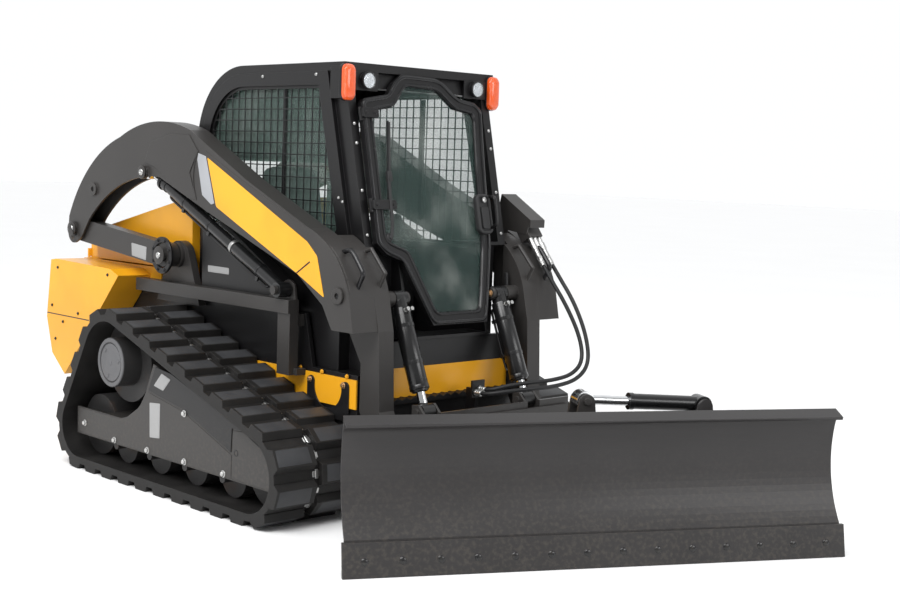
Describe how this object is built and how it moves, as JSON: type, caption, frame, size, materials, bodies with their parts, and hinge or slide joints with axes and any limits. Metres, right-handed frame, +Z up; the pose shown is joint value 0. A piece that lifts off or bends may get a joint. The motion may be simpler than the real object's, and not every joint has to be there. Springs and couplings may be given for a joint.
{
  "type": "compact track loader",
  "caption": "Compact track loader with a closed cab, curved lift arms on rear links, rubber tracks and an angled six-way dozer blade.",
  "frame": {"origin": "on the ground, on the machine mid-plane, midway along the tracks' ground contact", "axes": "-Y is the way the machine faces, +Z is up, -X is its right-hand side"},
  "size_m": [2.0917, 4.1353, 2.017],
  "materials": {
    "amber_lens": "moulded amber lens",
    "black_paint": "satin black paint",
    "cab_plastic": "moulded dark plastic",
    "cast_iron": "rough cast iron",
    "charcoal_paint": "semi-gloss warm dark grey paint",
    "chrome": "polished chromed rod",
    "glass": "green tinted safety glass",
    "lamp_glass": "clear lamp lens",
    "rubber": "matt black rubber",
    "seat_vinyl": "black vinyl",
    "steel": "machined steel",
    "yellow_paint": "gloss warm yellow paint"
  },
  "bodies": {
    "chassis": {"chassis_hull": "black_paint", "engine_block": "cast_iron", "side_stripes": "yellow_paint", "front_rail": "yellow_paint", "front_apron": "black_paint", "front_step": "black_paint", "side_beams": "charcoal_paint", "rear_towers": "charcoal_paint", "track_frames": "charcoal_paint", "track_left": "rubber", "track_right": "rubber", "drive_sprockets": "cast_iron", "track_idlers": "cast_iron", "track_rollers": "cast_iron", "cab_frame": "black_paint", "cab_roof": "black_paint", "side_glass": "glass", "rear_glass": "glass", "side_screens": "black_paint", "seat_consoles": "cab_plastic", "seat": "seat_vinyl", "amber_lamps": "amber_lens", "work_lamps": "lamp_glass", "rear_cowl": "yellow_paint", "side_covers": "black_paint", "hook_plates": "black_paint"},
    "rear_link": {"rear_links": "charcoal_paint"},
    "loader_arm": {"loader_arms": "charcoal_paint", "arm_cross_tube": "charcoal_paint", "coupler_guard": "charcoal_paint", "hose_couplers": "steel", "hose_front": "rubber", "hose_back": "rubber"},
    "lift_barrel": {"lift_barrels": "black_paint"},
    "lift_rod": {"lift_rods": "chrome"},
    "tilt_barrel": {"tilt_barrels": "black_paint"},
    "tilt_rod": {"tilt_rods": "chrome"},
    "quick_coupler": {"quick_coupler": "charcoal_paint", "push_frame": "charcoal_paint"},
    "swing_frame": {"swing_frame": "charcoal_paint"},
    "blade": {"mouldboard": "charcoal_paint", "cutting_edge": "charcoal_paint"},
    "blade_tilt_barrel": {"blade_tilt_barrel": "black_paint"},
    "blade_tilt_rod": {"blade_tilt_rod": "chrome"},
    "angle_barrel_left": {"angle_barrel_left": "black_paint"},
    "angle_rod_left": {"angle_rod_left": "chrome"},
    "angle_barrel_right": {"angle_barrel_right": "black_paint"},
    "angle_rod_right": {"angle_rod_right": "chrome"},
    "door": {"door_frame": "black_paint", "door_glass": "glass", "door_handle": "cab_plastic"},
    "tailgate": {"tailgate": "yellow_paint"},
    "hood": {"hood": "yellow_paint"}
  },
  "joints": [
    {"name": "boom_lift", "type": "hinge", "parent": "chassis", "child": "rear_link", "pos_m": [0, 0.55, 1.079], "axis": [1, 0, 0], "range_deg": [0, 64]},
    {"name": "arm_swing", "type": "hinge", "parent": "rear_link", "child": "loader_arm", "pos_m": [0, 1.4, 1.165], "axis": [-1, 0, 0], "range_deg": [0, 111.23]},
    {"name": "lift_barrel_swing", "type": "hinge", "parent": "chassis", "child": "lift_barrel", "pos_m": [0, -0.386, 0.986], "axis": [1, 0, 0], "range_deg": [0, 33.95]},
    {"name": "lift_rod_slide", "type": "slide", "parent": "lift_barrel", "child": "lift_rod", "axis": [0, 0.9078, 0.4195], "range_m": [0, 0.71414]},
    {"name": "coupler_tilt", "type": "hinge", "parent": "loader_arm", "child": "quick_coupler", "pos_m": [0, -1.04, 0.255], "axis": [1, 0, 0], "range_deg": [-20, 45]},
    {"name": "tilt_barrel_swing", "type": "hinge", "parent": "loader_arm", "child": "tilt_barrel", "pos_m": [0, -0.861, 0.979], "axis": [1, 0, 0], "range_deg": [-12.6, 5.6]},
    {"name": "tilt_rod_slide", "type": "slide", "parent": "tilt_barrel", "child": "tilt_rod", "axis": [0, -0.3869, -0.9221], "range_m": [-0.05301, 0.11926]},
    {"name": "blade_angle", "type": "hinge", "parent": "quick_coupler", "child": "swing_frame", "pos_m": [0, -1.662, 0.33], "axis": [0, 0, 1], "range_deg": [-1.6, 58.4]},
    {"name": "angle_barrel_swing_left", "type": "hinge", "parent": "quick_coupler", "child": "angle_barrel_left", "pos_m": [0.33, -1.205, 0.306], "axis": [0, 0, 1], "range_deg": [-0.26, 9.61]},
    {"name": "angle_rod_slide_left", "type": "slide", "parent": "angle_barrel_left", "child": "angle_rod_left", "axis": [-0.2483, -0.9687, 0], "range_m": [-0.26724, 0.00733]},
    {"name": "angle_barrel_swing_right", "type": "hinge", "parent": "quick_coupler", "child": "angle_barrel_right", "pos_m": [-0.33, -1.205, 0.306], "axis": [0, 0, 1], "range_deg": [-0.28, 10.12]},
    {"name": "angle_rod_slide_right", "type": "slide", "parent": "angle_barrel_right", "child": "angle_rod_right", "axis": [0.0821, -0.9966, 0], "range_m": [-0.00726, 0.26481]},
    {"name": "blade_tilt", "type": "hinge", "parent": "swing_frame", "child": "blade", "pos_m": [-0.10226, -1.85112, 0.33], "axis": [-0.4756, -0.8796, 0], "range_deg": [-8, 8]},
    {"name": "side_barrel_swing", "type": "hinge", "parent": "blade", "child": "blade_tilt_barrel", "pos_m": [0.42479, -1.97808, 0.6], "axis": [-0.4756, -0.8796, 0], "range_deg": [-0.3151, 0.3151]},
    {"name": "side_rod_slide", "type": "slide", "parent": "blade_tilt_barrel", "child": "blade_tilt_rod", "axis": [-0.8786, 0.4751, 0.0488], "range_m": [-0.04112, 0.04112]},
    {"name": "door_swing", "type": "hinge", "parent": "chassis", "child": "door", "pos_m": [-0.405, -0.81939, 1.14163], "axis": [0, -0.217, -0.9762], "range_deg": [0, 88]},
    {"name": "tailgate_swing", "type": "hinge", "parent": "chassis", "child": "tailgate", "pos_m": [-0.438, 1.61, 0.55], "axis": [0, 0, 1], "range_deg": [0, 85]},
    {"name": "hood_lift", "type": "hinge", "parent": "chassis", "child": "hood", "pos_m": [0, 0.489, 1.386], "axis": [1, 0, 0], "range_deg": [0, 50]}
  ],
  "couplings": [
    {"joint": "arm_swing", "follows": "boom_lift", "ratio": 1.738},
    {"joint": "lift_barrel_swing", "follows": "boom_lift", "ratio": 0.53038},
    {"joint": "lift_rod_slide", "follows": "boom_lift", "m_per_rad": 0.63932},
    {"joint": "tilt_barrel_swing", "follows": "coupler_tilt", "ratio": -0.28},
    {"joint": "tilt_rod_slide", "follows": "coupler_tilt", "m_per_rad": 0.15183},
    {"joint": "angle_barrel_swing_left", "follows": "blade_angle", "ratio": 0.16459},
    {"joint": "angle_rod_slide_left", "follows": "blade_angle", "m_per_rad": -0.26218},
    {"joint": "angle_barrel_swing_right", "follows": "blade_angle", "ratio": 0.17325},
    {"joint": "angle_rod_slide_right", "follows": "blade_angle", "m_per_rad": 0.25979},
    {"joint": "side_barrel_swing", "follows": "blade_tilt", "ratio": -0.039259},
    {"joint": "side_rod_slide", "follows": "blade_tilt", "m_per_rad": -0.29441}
  ]
}
